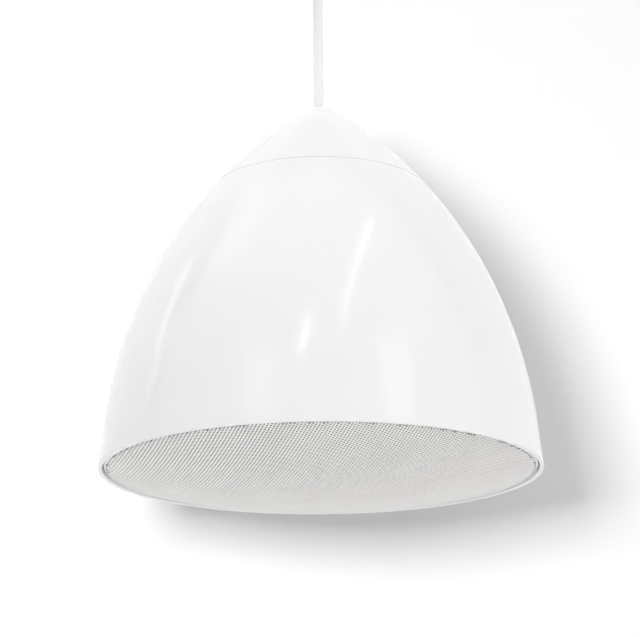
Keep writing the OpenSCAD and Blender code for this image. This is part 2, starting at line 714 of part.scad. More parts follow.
module tap_shaft() color(STEEL) at_lip() at(switch_x, 0, plate_z - switch_h + 3 + seat)
  cylinder(r = shaft_r, h = knob_z - plate_z + switch_h + 4, $fn = 40);

module tap_knob() color(WHITE) at_lip() at(switch_x, 0, knob_z) difference() {
  cylinder(r = knob_r, h = knob_h, $fn = 60);
  at(0, 0, -1) cylinder(r = shaft_r + 0.02, h = knob_h - 2, $fn = 40);
  at(knob_r - 1, 0, knob_h - 0.6) block([6, 1, 1]);
  around(12, knob_r + 0.9, 15) cylinder(r = 1.5, h = knob_h + 1, $fn = 24);
}

// Transformer

module transformer_core() color([0.35, 0.35, 0.37]) at_lip() at(core_x, 0, core_z) difference() {
  limb = core_w / 6;
  block([core_stack, core_w, core_h]);
  for (side = [-1, 1]) at(0, side * 1.5 * limb, limb)
    block([core_stack + 2, limb, core_h - 2 * limb]);
}

module transformer_winding() color([0.8, 0.75, 0.3]) at_lip() at(core_x, 0, core_z) difference() {
  limb = core_w / 6;
  at(0, 0, limb + seat) block([core_stack + 14, 4 * limb - 2 * seat, core_h - 2 * limb - 2 * seat]);
  block([core_stack + 0.4, 2 * limb + 0.4, core_h]);
}

module transformer_strap() color(ZINC) at_lip() at(core_x, 0, 0) difference() {
  near = core_w / 2 + 0.2;
  far = near + strap_thick;
  foot = near + strap_thick + foot_len;
  floor_z = core_z - 0.2;
  rotate([90, 0, 90]) linear_extrude(strap_w, center = true) polygon([
    [-foot, plate_z], [-foot, plate_z - strap_thick], [-far, plate_z - strap_thick],
    [-far, floor_z - strap_thick], [far, floor_z - strap_thick], [far, plate_z - strap_thick],
    [foot, plate_z - strap_thick], [foot, plate_z], [near, plate_z], [near, floor_z],
    [-near, floor_z], [-near, plate_z]]);
  for (side = [-1, 1]) at(0, side * foot_y, plate_z - strap_thick - 1)
    cylinder(r = screw_r + 0.3, h = strap_thick + 2, $fn = 24);
}

// Screws with a nut under each foot of the strap
module transformer_screws() color(ZINC) at_lip() for (side = [-1, 1]) at(core_x, side * foot_y, 0) {
  at(0, 0, plate_top) screw_down(screw_r, plate_thick + strap_thick + 4, head_r, head_h, $fn = 24);
  at(0, 0, plate_z - strap_thick - 2.4) hex_nut(3.2, 2.4, screw_r + thread_gap);
}

// Crossover

module circuit_board() color([0.1, 0.35, 0.2]) at_lip() at(0, 0, board_z) difference() {
  block([board_w, board_l, board_thick]);
  four_posts() at(0, 0, -1) cylinder(r = screw_r + 0.3, h = board_thick + 2, $fn = 24);
}

module board_posts() color(ZINC) at_lip() four_posts() at(0, 0, board_z + board_thick) difference() {
  post_h = board_drop - board_thick;
  cylinder(r = board_post_r, h = post_h, $fn = 32);
  at(0, 0, -1) cylinder(r = screw_r + thread_gap, h = 9, $fn = 24);
  at(0, 0, post_h - 8) cylinder(r = screw_r + thread_gap, h = 9, $fn = 24);
}

module board_screws() color(ZINC) at_lip() four_posts() {
  at(0, 0, plate_top) screw_down(screw_r, plate_thick + 7, head_r, head_h, $fn = 24);
  at(0, 0, board_z) screw(screw_r, board_thick + 7, head_r, head_h, $fn = 24);
}

// Air-cored coil on a bobbin with two cheeks
module woofer_inductor() color(COPPER) at_lip() at(-coil_side_x, 11, board_z + board_thick) {
  bobbin_hole_r = 4;
  for (z = [0, bobbin_h - cheek_thick]) at(0, 0, z) disc(bobbin_r, cheek_thick, bobbin_hole_r, $fn = 60);
  at(0, 0, cheek_thick / 2) disc(bobbin_r - 1, bobbin_h - cheek_thick, bobbin_hole_r, $fn = 60);
}

module capacitors() color([0.15, 0.25, 0.5]) at_lip() for (side = [-1, 1])
  at(capacitor_x, side * 12 - capacitor_l / 2, board_z + board_thick + capacitor_r)
    rotate([-90, 0, 0]) cylinder(r = capacitor_r, h = capacitor_l, $fn = 48);

module resistor() color([0.85, 0.84, 0.8]) at_lip() at(-coil_side_x, -14, board_z + board_thick)
  block([resistor_w, resistor_l, resistor_w]);

// Hanger

module hanger_yoke() color(ZINC) at_lip() difference() {
  foot_top = seam_h + yoke_thick;
  roof = yoke_top + yoke_thick;
  roof_out = roof_half + leg_level - yoke_thick * leg_run;
  knee_out = [foot_in + yoke_thick, knee_z + (leg_level - yoke_thick) / leg_run];
  half = [[roof_out, roof], knee_out, [foot_in + yoke_thick, foot_top], [foot_out, foot_top],
    [foot_out, seam_h], [foot_in, seam_h], [foot_in, knee_z], [roof_half, yoke_top]];
  rotate([90, 0, 90]) linear_extrude(yoke_w, center = true) polygon(concat(
    half, [for (i = [len(half) - 1:-1:0]) [-half[i][0], half[i][1]]]));
  at(0, 0, yoke_top - 1) cylinder(r = grip_thread_r + 0.1, h = yoke_thick + 2, $fn = 60);
  around(2, yoke_hole, 90) at(0, 0, seam_h - 1)
    cylinder(r = hanger_screw_r + 0.3, h = yoke_thick + 2, $fn = 32);
}

module hanger_screws() color(ZINC) at_lip() around(2, yoke_hole, 90)
  at(0, 0, seam_h + yoke_thick)
    screw_down(hanger_screw_r, hanger_screw_l, hanger_head_r, hanger_head_h, $fn = 32);

module cord_grip() color(STEEL) at_lip() difference() {
  union() {
    at(0, 0, yoke_top - grip_hex_h - 1) cylinder(r = grip_thread_r, h = grip_hex_h + 3, $fn = 60);
    at(0, 0, yoke_top + yoke_thick) cylinder(r = grip_hex_r, h = grip_hex_h, $fn = 6);
    at(0, 0, grip_top - 0.5) cylinder(r = grip_thread_r - 0.5, h = grip_nut_h - 2, $fn = 60);
    at(0, 0, yoke_top - 1) cylinder(r = grip_thread_r, h = yoke_thick + 2, $fn = 60);
  }
  at(0, 0, yoke_top - grip_hex_h - 2) cylinder(r = grip_bore_r, h = grip_nut_h + 20, $fn = 48);
}

module cord_grip_nut() color(STEEL) at_lip() at(0, 0, grip_top) difference() {
  nut_r = grip_thread_r + 2;
  nut_tip_r = cord_r + 2.5;
  rotate_extrude($fn = 60)
    polygon([[0, 0], [nut_r, 0], [nut_r, 4], [nut_tip_r, grip_nut_h], [0, grip_nut_h]]);
  at(0, 0, -1) cylinder(r = grip_thread_r - 0.5 + thread_gap, h = grip_nut_h - 1, $fn = 60);
  cylinder(r = grip_bore_r, h = grip_nut_h + 1, $fn = 48);
}

module cord_grip_locknut() color(ZINC) at_lip() at(0, 0, yoke_top - grip_hex_h)
  hex_nut(grip_hex_r, grip_hex_h, grip_thread_r + thread_gap);

// Cord and ceiling fitting

module cord() color(WHITE) at_lip()
  tube([for (i = [0:cord_rings]) [0, 0, cord_foot + (cord_head - cord_foot) * i / cord_rings]],
    cord_r, cord_sides);

// Cap nut that holds the canopy up and grips the cord
module ceiling_grip() color(WHITE) at_lip() at(0, 0, canopy_foot - ceiling_grip_h) difference() {
  rotate_extrude($fn = 80) polygon([
    [0, 0], [cord_r + 1.6, 0], [ceiling_grip_r - 0.8, 2.2], [ceiling_grip_r, 3],
    [ceiling_grip_r, ceiling_grip_h], [0, ceiling_grip_h]]);
  at(0, 0, -1) cylinder(r = grip_bore_r, h = ceiling_grip_h + 2, $fn = 48);
  at(0, 0, ceiling_grip_h - nipple_in - 0.2)
    cylinder(r = nipple_r + thread_gap, h = nipple_in + 1, $fn = 60);
}

module ceiling_canopy() color(WHITE) at_lip() rotate_extrude($fn = 120) {
  side_z = hang_h - canopy_side_h;
  rise = side_z - canopy_foot;
  slope = atan2(rise, canopy_r - canopy_neck_r);
  lift = canopy_wall / cos(slope);
  hole = nipple_r + slip;
  polygon([
    [hole, canopy_foot], [canopy_neck_r, canopy_foot], [canopy_r - 1.5, side_z - 0.7],
    [canopy_r - 0.3, side_z + 0.5], [canopy_r, side_z + 2], [canopy_r, hang_h - seat],
    [canopy_r - canopy_wall, hang_h - seat], [canopy_r - canopy_wall, side_z + 2],
    [canopy_r - canopy_wall - 1, side_z + lift - 0.9], [canopy_neck_r, canopy_foot + lift],
    [hole, canopy_foot + lift]]);
}

module ceiling_nipple() color(ZINC) at_lip() at(0, 0, canopy_foot - nipple_in) difference() {
  length = hang_h - bracket_thick - canopy_foot + nipple_in - seat;
  cylinder(r = nipple_r, h = length, $fn = 60);
  at(0, 0, -1) cylinder(r = nipple_bore_r, h = length + 2, $fn = 48);
  at(0, 0, 24) rotate([90, 0, 0]) cylinder(r = 2, h = nipple_r + 1, $fn = 24);
}

module ceiling_bracket() color(ZINC) at_lip() difference() {
  union() {
    at(0, 0, hang_h - bracket_thick) block([bracket_l, bracket_w, bracket_thick]);
    at(0, 0, hang_h - bracket_thick - bracket_boss_h)
      cylinder(r = bracket_boss_r, h = bracket_boss_h + 0.5, $fn = 60);
  }
  at(0, 0, hang_h - bracket_thick - bracket_boss_h - 1)
    cylinder(r = nipple_r + thread_gap, h = bracket_boss_h + 1, $fn = 60);
  for (side = [-1, 1]) at(side * ceiling_screw_gap / 2, 0, hang_h - bracket_thick - 1)
    cylinder(r = ceiling_hole_r, h = bracket_thick + 2, $fn = 32);
}

enclosure();
top_cap();
grille();
grille_cloth();
baffle();
baffle_gasket();
baffle_screws();
port_tube_left();
port_tube_right();
driver_basket();
driver_gasket();
driver_screws();
surround();
cone();
spider();
voice_coil_former();
voice_coil_winding();
front_plate();
driver_magnet();
pole_piece();
driver_terminals();
tweeter_post();
tweeter_housing();
tweeter_magnet();
tweeter_dome();
tweeter_ring();
wadding();
driver_wires();
terminal_plate();
plate_gasket();
plate_screws();
socket();
plug();
plug_screws();
tap_switch();
tap_switch_nut();
tap_shaft();
tap_knob();
transformer_core();
transformer_winding();
transformer_strap();
transformer_screws();
circuit_board();
board_posts();
board_screws();
woofer_inductor();
capacitors();
resistor();
hanger_yoke();
hanger_screws();
cord_grip();
cord_grip_nut();
cord_grip_locknut();
cord_conductors();
cord();
ceiling_grip();
ceiling_canopy();
ceiling_nipple();
ceiling_bracket();
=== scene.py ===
import math

import bpy
import numpy as np
from mathutils import Matrix, Vector

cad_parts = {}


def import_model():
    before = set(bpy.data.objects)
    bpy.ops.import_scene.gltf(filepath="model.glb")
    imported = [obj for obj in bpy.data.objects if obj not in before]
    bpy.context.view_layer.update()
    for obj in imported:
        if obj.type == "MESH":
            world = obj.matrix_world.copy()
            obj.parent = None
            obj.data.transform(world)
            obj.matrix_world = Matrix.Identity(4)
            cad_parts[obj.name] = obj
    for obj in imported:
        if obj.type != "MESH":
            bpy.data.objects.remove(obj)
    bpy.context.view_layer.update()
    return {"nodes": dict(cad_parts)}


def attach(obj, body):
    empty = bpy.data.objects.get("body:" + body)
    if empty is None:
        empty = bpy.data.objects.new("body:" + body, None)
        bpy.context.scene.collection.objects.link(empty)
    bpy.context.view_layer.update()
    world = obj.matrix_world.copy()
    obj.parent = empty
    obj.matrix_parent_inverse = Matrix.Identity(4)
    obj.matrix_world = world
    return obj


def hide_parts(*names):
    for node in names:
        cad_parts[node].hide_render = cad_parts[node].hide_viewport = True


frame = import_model()
NODES = frame["nodes"]
MM = 0.001

# Main sizes in millimetres, as in the part: heights are above the bell's lip
HANG_H = 405.0
LIP_R = 153.5
FLANK_LEAN = math.radians(6.0)
FLANK_H = 30.5
SEAM_H = 203.0
SEAM_R = 80.3
CAP_H = 54.3
CAP_ARC_R = 336.0
SEAM_GAP = 0.2
BELL_WALL = 3.0
LIP_WALL = 2.9
LIP_ROUND = 0.4
REBATE = 8.0
DECK_THICK = 4.0
DECK_HOLE_R = 44.0
LEDGE_R = 136.7
LEDGE_FOOT = 13.0
LEDGE_TOP = 16.0
COLLAR_H = 6.0
COLLAR_WALL = 2.5
COLLAR_GAP = 0.3
CAP_WALL = 2.4
CROWN_R = 16.0
CAP_HOLE_R = 4.2

# A broken edge is a short chamfer whose middle stands a little off the sharp corner
EDGE_BREAK = 0.2
EDGE_INSET = 0.06

# Grille: the sheet ends on its rolled edge, and its holes stop short of that end
GRILLE_GAP = 1.0
GRILLE_SAG = 18.9
GRILLE_RISE = 1.2
SHEET = 1.0
EDGE_ROUND = 2.0
SHEET_END = 0.55 * EDGE_ROUND
RIM_START = 0.7 * EDGE_ROUND
RIM_PROUD = 0.02
RIM_TOP_GAP = 0.3
HOLE_PITCH = 2.5
HOLE_D = 1.6
# Depth of each hole's white mouth; below it the hole wall takes a dark colour that is painted shade
HOLE_MOUTH = 0.2
HOLE_MARGIN = 0.35 * HOLE_PITCH
HOLE_END_GAP = 0.2
HOLE_ROW_TURN = math.radians(-13.7)

# Cord and ceiling fitting
CORD_R = 3.5
CORD_FOOT = 236.0
CORD_HEAD = 391.0
CORD_POINTS = 16
CANOPY_FOOT = 372.0
CANOPY_R = 56.0
CANOPY_NECK_R = 10.0
CANOPY_SIDE_H = 12.0
CANOPY_WALL = 1.5
CANOPY_BEND = 2.5
CANOPY_TOP_GAP = 0.3
NIPPLE_R = 6.5
NIPPLE_GAP = 0.15
NIPPLE_EDGE = 0.3

# Fineness of the turned surfaces
TURN_STEPS = 320
CANOPY_STEPS = 200
SHARP_ANGLE = math.radians(32)

# Bell outline: a straight leaning flank, then an arc up to the seam
BEND_R = LIP_R - FLANK_H * math.tan(FLANK_LEAN)
BEND_IN = BEND_R - SEAM_R
BEND_UP = SEAM_H - FLANK_H
SIDE_ARC_R = (BEND_IN**2 + BEND_UP**2) / (
    2 * (BEND_IN * math.cos(FLANK_LEAN) - BEND_UP * math.sin(FLANK_LEAN))
)
ARC_X = BEND_R - SIDE_ARC_R * math.cos(FLANK_LEAN)
ARC_Z = FLANK_H - SIDE_ARC_R * math.sin(FLANK_LEAN)

# Cap outline: an arc from the seam that runs into the round crown
CROWN_Z = SEAM_H + CAP_H
CAP_CHORD = math.hypot(SEAM_R, CAP_H)
CAP_ALONG = (CAP_ARC_R**2 - (CAP_ARC_R - CROWN_R) ** 2 + CAP_CHORD**2) / (2 * CAP_CHORD)
CAP_ACROSS = math.sqrt(CAP_ARC_R**2 - CAP_ALONG**2)
CAP_X = SEAM_R - (CAP_ALONG * SEAM_R + CAP_ACROSS * CAP_H) / CAP_CHORD
CAP_Z = SEAM_H + (CAP_ALONG * CAP_H - CAP_ACROSS * SEAM_R) / CAP_CHORD
CROWN_ANGLE = math.atan2(CROWN_Z - CAP_Z, -CAP_X)

# Grille's outer radius, and the sphere that its dome is part of
GRILLE_R = LIP_R - LIP_WALL / math.cos(FLANK_LEAN) - GRILLE_GAP
DOME_DEPTH = GRILLE_SAG + GRILLE_RISE
DOME_R = (GRILLE_R**2 + DOME_DEPTH**2) / (2 * DOME_DEPTH)
DOME_Z = DOME_R - GRILLE_SAG


def wall_r(z, depth=0.0):
    """Radius of the bell, a depth inside its outer face, at height z."""
    if z < ARC_Z + (SIDE_ARC_R - depth) * math.sin(FLANK_LEAN):
        return LIP_R - depth / math.cos(FLANK_LEAN) - z * math.tan(FLANK_LEAN)
    return ARC_X + math.sqrt((SIDE_ARC_R - depth) ** 2 - (z - ARC_Z) ** 2)


def side_angle(z, depth=0.0):
    return math.asin((z - ARC_Z) / (SIDE_ARC_R - depth))


def cap_r(z, depth=0.0):
    """Radius of the cap's side, a depth inside its outer face, at height z."""
    return CAP_X + math.sqrt((CAP_ARC_R - depth) ** 2 - (z - CAP_Z) ** 2)


def cap_angle(z, depth=0.0):
    return math.asin((z - CAP_Z) / (CAP_ARC_R - depth))


def arc(x, z, r, a, b, steps):
    """Points of an arc from angle a to angle b, in radians."""
    turns = [a + (b - a) * i / steps for i in range(steps + 1)]
    return [(x + r * math.cos(t), z + r * math.sin(t)) for t in turns]


# Mesh helpers


def new_object(name, verts, faces, smooth=True):
    """Mesh object in the row frame from points in millimetres above the lip."""
    mesh = bpy.data.meshes.new(name)
    points = (np.asarray(verts, float) - (0, 0, HANG_H)) * MM
    mesh.from_pydata(points.tolist(), [], faces)
    mesh.validate()
    if smooth:
        mesh.shade_smooth()
        mesh.set_sharp_from_angle(angle=SHARP_ANGLE)
    made = bpy.data.objects.new(name, mesh)
    bpy.context.scene.collection.objects.link(made)
    return made


def revolve(name, profile, steps=TURN_STEPS):
    """Closed body of revolution from (radius, height) points, in order round its section."""
    verts, rings = [], []
    for r, z in profile:
        rings.append(range(len(verts), len(verts) + steps))
        for k in range(steps):
            t = 2 * math.pi * k / steps
            verts.append((r * math.cos(t), r * math.sin(t), z))
    faces = []
    for i, low in enumerate(rings):
        high = rings[(i + 1) % len(rings)]
        for k in range(steps):
            m = (k + 1) % steps
            faces.append((low[k], low[m], high[m], high[k]))
    return new_object(name, verts, faces)


# Material helpers


class Nodes:
    """Short way to build one material's node tree."""

    def __init__(self, name):
        self.material = bpy.data.materials.new(name)
        self.material.use_nodes = True
        self.tree = self.material.node_tree
        self.bsdf = self.tree.nodes["Principled BSDF"]
        self.out = self.tree.nodes["Material Output"]

    def add(self, kind, **values):
        node = self.tree.nodes.new(kind)
        for key, value in values.items():
            setattr(node, key, value)
        return node

    def link(self, a, b):
        self.tree.links.new(a, b)

    def set(self, **values):
        for key, value in values.items():
            self.bsdf.inputs[key.replace("_", " ")].default_value = value

    def coords(self, scale=(1, 1, 1)):
        """Object coordinates, which here are the row frame in metres."""
        where = self.add("ShaderNodeTexCoord")
        mapping = self.add("ShaderNodeMapping")
        mapping.inputs["Scale"].default_value = scale
        self.link(where.outputs["Object"], mapping.inputs["Vector"])
        return mapping.outputs["Vector"]

    def noise(self, vector, scale, detail=2.0):
        node = self.add("ShaderNodeTexNoise")
        node.inputs["Scale"].default_value = scale
        node.inputs["Detail"].default_value = detail
        self.link(vector, node.inputs["Vector"])
        return node.outputs["Fac"]

    def ramp(self, fac, low, high, a=0.35, b=0.65):
        """Colour that goes from low to high as fac goes from a to b."""
        node = self.add("ShaderNodeValToRGB")
        node.color_ramp.elements[0].position = a
        node.color_ramp.elements[1].position = b
        node.color_ramp.elements[0].color = (*low, 1)
        node.color_ramp.elements[1].color = (*high, 1)
        self.link(fac, node.inputs["Fac"])
        return node.outputs["Color"]

    def spread(self, fac, low, high):
        """Number that goes from low to high as fac goes from 0 to 1."""
        node = self.add("ShaderNodeMapRange")
        node.inputs["To Min"].default_value = low
        node.inputs["To Max"].default_value = high
        self.link(fac, node.inputs["Value"])
        return node.outputs["Result"]

    def bump(self, height, distance, strength=1.0):
        node = self.add("ShaderNodeBump")
        node.inputs["Distance"].default_value = distance
        node.inputs["Strength"].default_value = strength
        self.link(height, node.inputs["Height"])
        return node.outputs["Normal"]

    def wave(self, along, pitch):
        """Sine of one coordinate, with one wave to a pitch."""
        scaled = self.add("ShaderNodeMath", operation="MULTIPLY")
        scaled.inputs[1].default_value = 2 * math.pi / pitch
        self.link(along, scaled.inputs[0])
        sine = self.add("ShaderNodeMath", operation="SINE")
        self.link(scaled.outputs[0], sine.inputs[0])
        return sine.outputs[0]

    def colour(self, output):
        self.link(output, self.bsdf.inputs["Base Color"])

    def rough(self, output):
        self.link(output, self.bsdf.inputs["Roughness"])

    def normal(self, output):
        self.link(output, self.bsdf.inputs["Normal"])


def darker(base, share):
    return tuple(c * share for c in base)


# Noise scales are per metre, and bump heights are in metres
BROAD_CLOUD = 35.0
ROUGH_PLAY = 0.15


def plain(name, base, rough, spread=0.08, grain=900.0, bump=0.00002):
    """Moulded or painted surface: a little colour variation, fine grain and uneven gloss."""
    m = Nodes(name)
    at = m.coords()
    broad = m.noise(at, BROAD_CLOUD)
    fine = m.noise(at, grain, detail=3.0)
    m.colour(m.ramp(broad, darker(base, 1 - spread), base))
    m.rough(m.spread(fine, rough * (1 - ROUGH_PLAY), min(1.0, rough * (1 + ROUGH_PLAY))))
    m.normal(m.bump(fine, bump))
    return m.material


def weave(name, base, pitch, rough=0.9, lift=0.0002):
    """Woven cloth: two crossed waves make the threads, and its colour is darker where they dip:
    painted shade between the threads.
    """
    m = Nodes(name)
    at = m.coords()
    parts = m.add("ShaderNodeSeparateXYZ")
    m.link(at, parts.inputs["Vector"])
    both = m.add("ShaderNodeMath", operation="MULTIPLY")
    for axis, socket in zip("XY", both.inputs):
        m.link(m.wave(parts.outputs[axis], pitch), socket)
    height = m.spread(both.outputs[0], 0.3, 1.0)
    # Colour follows the thread height, darker in the dips as painted shade
    m.colour(m.ramp(height, darker(base, 0.6), base, 0.0, 1.0))
    m.normal(m.bump(height, lift))
    m.set(Roughness=rough)
    return m.material


ACROSS_MARKS = 1800
ALONG_MARKS = 60


def brushed(name, base, rough, turned=False):
    """Plated or brushed steel with uneven gloss: its marks run round it if turned, else upright."""
    m = Nodes(name)
    scale = [ACROSS_MARKS, ACROSS_MARKS, ALONG_MARKS]
    if turned:
        scale = [ALONG_MARKS, ALONG_MARKS, ACROSS_MARKS]
    marks = m.noise(m.coords(scale), 1.0)
    cloud = m.noise(m.coords(), 60.0)
    m.colour(m.ramp(cloud, darker(base, 0.85), base))
    m.rough(m.spread(marks, rough * 0.75, rough * 1.3))
    m.normal(m.bump(marks, 0.00001))
    m.set(Metallic=1.0)
    return m.material


def wound(name, base, pitch, axis="Z", metal=0.6, rough=0.35):
    """Turns of wire, shown as ridges a pitch apart along one axis, with the colour darker in the
    grooves between them: painted shade.
    """
    m = Nodes(name)
    parts = m.add("ShaderNodeSeparateXYZ")
    m.link(m.coords(), parts.inputs["Vector"])
    height = m.spread(m.wave(parts.outputs[axis], pitch), 0.0, 1.0)
    # Colour follows the ridge height, darker in the grooves as painted shade
    m.colour(m.ramp(height, darker(base, 0.35), base, 0.0, 0.6))
    m.normal(m.bump(height, pitch * 0.3))
    m.set(Metallic=metal, Roughness=rough)
    return m.material


def dress(obj, material):
    obj.data.materials.clear()
    obj.data.materials.append(material)


# Materials of the outside

WHITE_SHELL = (0.872, 0.864, 0.868)
SHELL_IOR = 1.46
PEEL_GRAIN = 140.0
PEEL_HEIGHT = 0.00002
SHELL_CLOUD = 12.0


def shell_white(name, low, high, **more):
    """Moulded white plastic with a very slight orange peel; its roughness goes from low to high."""
    m = Nodes(name)
    at = m.coords()
    peel = m.noise(at, PEEL_GRAIN, detail=1.0)
    cloud = m.noise(at, SHELL_CLOUD)
    m.colour(m.ramp(cloud, darker(WHITE_SHELL, 0.99), WHITE_SHELL))
    m.rough(m.spread(cloud, low, high))
    m.normal(m.bump(peel, PEEL_HEIGHT, strength=0.5))
    m.set(IOR=SHELL_IOR, **more)
    return m.material


SHELL = shell_white("white_gloss_plastic", 0.13, 0.17)
LIP_FACE = shell_white("white_satin_plastic", 0.6, 0.65, Specular_IOR_Level=0.2)
GRILLE_PAINT = plain("grille_paint", (0.88, 0.87, 0.85), rough=0.45, spread=0.02, grain=1500.0)
# Dark colour of the grille's hole walls: painted shade inside the perforations
HOLE_SHADE = plain("hole_wall_painted_shade", (0.13, 0.13, 0.13), rough=0.6, spread=0.1, grain=1500.0)
JACKET = plain("cord_jacket", (0.9, 0.9, 0.9), rough=0.35, spread=0.03, grain=700.0, bump=0.00005)
FITTING = plain("fitting_paint", (0.82, 0.82, 0.82), rough=0.35, spread=0.02, grain=1200.0)

# Bell and cap, turned finely enough for clean reflections


FLANK_RINGS = (8.0, 16.0, 23.0)


def bell():
    """Bell with its lip, rebate, ledge, deck and the collar that centres the cap."""
    inner_lip = wall_r(0, LIP_WALL)
    outer_lip = LIP_R - LIP_ROUND * (1 + math.sin(FLANK_LEAN)) / math.cos(FLANK_LEAN)
    collar_z = SEAM_H + COLLAR_H
    collar_r = cap_r(collar_z, CAP_WALL) - COLLAR_GAP
    collar_in = collar_r - COLLAR_WALL
    deck_z = SEAM_H - DECK_THICK
    quarter = math.pi / 2
    profile = arc(inner_lip + LIP_ROUND, LIP_ROUND, LIP_ROUND, math.pi, 3 * quarter, 6)
    profile += arc(outer_lip, LIP_ROUND, LIP_ROUND, 3 * quarter, 4 * quarter + FLANK_LEAN, 8)
    profile += [(wall_r(z), z) for z in FLANK_RINGS]
    profile += arc(ARC_X, ARC_Z, SIDE_ARC_R, FLANK_LEAN, side_angle(SEAM_H - EDGE_BREAK), 72)
    profile += [(SEAM_R - EDGE_INSET, SEAM_H - EDGE_INSET), (SEAM_R - EDGE_BREAK, SEAM_H)]
    profile += [(collar_r, SEAM_H), (collar_r, collar_z), (collar_in, collar_z)]
    profile += [(collar_in, SEAM_H), (DECK_HOLE_R, SEAM_H), (DECK_HOLE_R, deck_z)]
    profile += arc(
        ARC_X, ARC_Z, SIDE_ARC_R - BELL_WALL, side_angle(deck_z, BELL_WALL), FLANK_LEAN, 24
    )
    profile += [(wall_r(LEDGE_TOP, BELL_WALL), LEDGE_TOP), (LEDGE_R, LEDGE_TOP)]
    profile += [(LEDGE_R, LEDGE_FOOT), (wall_r(LEDGE_FOOT, BELL_WALL), LEDGE_FOOT)]
    profile += [(wall_r(REBATE, BELL_WALL), REBATE), (wall_r(REBATE, LIP_WALL), REBATE)]
    made = revolve("bell_shell", profile)
    dress(made, SHELL)
    made.data.materials.append(LIP_FACE)
    for face in made.data.polygons:
        below = face.center.z < (LIP_ROUND - HANG_H) * MM
        face.material_index = int(below and face.normal.z < -0.5)
    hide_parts("enclosure")
    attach(made, "root")
    return made


def cap():
    """Top cap: its side, the round crown and the hole for the cord."""
    foot = SEAM_H + SEAM_GAP
    inner_r = CROWN_R - CAP_WALL
    profile = [(cap_r(foot) - EDGE_BREAK, foot), (cap_r(foot) - EDGE_INSET, foot + EDGE_INSET)]
    profile += arc(CAP_X, CAP_Z, CAP_ARC_R, cap_angle(foot + EDGE_BREAK), CROWN_ANGLE, 28)
    hole_turn = math.acos((CAP_HOLE_R + EDGE_BREAK) / CROWN_R)
    profile += arc(0, CROWN_Z, CROWN_R, CROWN_ANGLE, hole_turn, 12)[1:]
    top = CROWN_Z + math.sqrt(CROWN_R**2 - CAP_HOLE_R**2)
    profile += [(CAP_HOLE_R + EDGE_BREAK / 2, top - EDGE_INSET), (CAP_HOLE_R, top - EDGE_BREAK)]
    profile += arc(0, CROWN_Z, inner_r, math.acos(CAP_HOLE_R / inner_r), CROWN_ANGLE, 8)
    inner = CAP_ARC_R - CAP_WALL
    profile += arc(CAP_X, CAP_Z, inner, CROWN_ANGLE, cap_angle(foot, CAP_WALL), 20)[1:]
    made = revolve("cap_shell", profile)
    dress(made, SHELL)
    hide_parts("top_cap")
    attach(made, "cap")
    return made


# Grille: every hole of the perforated sheet, in a hexagonal lattice that keeps its pitch in plan


SECTORS = 5
SIDES = 6


def lattice():
    """Centres of the holes in plan, in millimetres, with the hexagonal cell's corner directions."""
    row = np.array([math.cos(HOLE_ROW_TURN), math.sin(HOLE_ROW_TURN)]) * HOLE_PITCH
    turn = HOLE_ROW_TURN + math.pi / 3
    next_row = np.array([math.cos(turn), math.sin(turn)]) * HOLE_PITCH
    reach = int(GRILLE_R / HOLE_PITCH * 1.2) + 2
    i, j = np.meshgrid(np.arange(-reach, reach + 1), np.arange(-reach, reach + 1))
    centres = i.reshape(-1, 1) * row + j.reshape(-1, 1) * next_row
    corners = HOLE_ROW_TURN + math.pi / 6 + np.arange(SIDES) * math.pi / 3
    return centres, np.stack([np.cos(corners), np.sin(corners)], axis=1)


def dome_point(xy, depth):
    """Points of the dome above plan points, a depth behind its outer face."""
    r2 = (xy**2).sum(axis=-1)
    z = DOME_Z - np.sqrt(np.maximum(DOME_R**2 - r2, 0))
    points = np.concatenate([xy, z[..., None]], axis=-1)
    centre = np.array([0, 0, DOME_Z])
    return centre + (points - centre) * (DOME_R - depth) / DOME_R


def pull_in(xy, limit):
    """Plan points, moved straight in where they lie further out than the limit."""
    reach = np.maximum(np.hypot(xy[..., 0], xy[..., 1]), 1e-6)
    return xy * np.minimum(1.0, limit / reach)[..., None]


def perforated_sheet():
    """The sheet in sectors. Each hexagonal cell has a ring of five loops round its hole, and the
    hole wall below its white mouth takes a dark colour that is painted shade.
    """
    centres, corners = lattice()
    edge = GRILLE_R - SHEET_END
    keep = np.hypot(centres[:, 0], centres[:, 1]) < edge - HOLE_MARGIN
    centres = centres[keep]
    cell_r = HOLE_PITCH / math.sqrt(3)
    turn = (np.arctan2(centres[:, 1], centres[:, 0]) + math.pi) / (2 * math.pi)
    share = np.minimum(np.floor(turn * SECTORS), SECTORS - 1)
    made = []
    for s in range(SECTORS):
        own = centres[share == s]
        cell = pull_in(own[:, None, :] + corners[None] * cell_r, edge)
        hole = pull_in(own[:, None, :] + corners[None] * HOLE_D / 2, edge - HOLE_END_GAP)
        loops = [dome_point(cell, 0.0), dome_point(hole, 0.0), dome_point(hole, HOLE_MOUTH),
                 dome_point(hole, SHEET), dome_point(cell, SHEET)]
        # The loop band below the white mouth is the hole wall that takes the painted shade
        shade_band = 2
        count = len(own)
        verts = np.stack(loops, axis=1).reshape(-1, 3)
        base = np.arange(count)[:, None] * SIDES * len(loops)
        k = np.arange(SIDES)[None]
        m = (k + 1) % SIDES
        faces = []
        for low in range(0, SIDES * (len(loops) - 1), SIDES):
            high = low + SIDES
            quad = np.stack([base + low + k, base + high + k, base + high + m, base + low + m], -1)
            faces.append(quad.reshape(-1, 4))
        sheet = new_object(f"grille_sheet_{s}", verts, np.concatenate(faces).tolist(), smooth=False)
        dress(sheet, GRILLE_PAINT)
        sheet.data.materials.append(HOLE_SHADE)
        inside = np.zeros(count * SIDES * len(faces), int)
        inside[count * SIDES * shade_band:count * SIDES * (shade_band + 1)] = 1
        sheet.data.polygons.foreach_set("material_index", inside)
        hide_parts("grille")
        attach(sheet, "root")
        made.append(sheet)
    return made


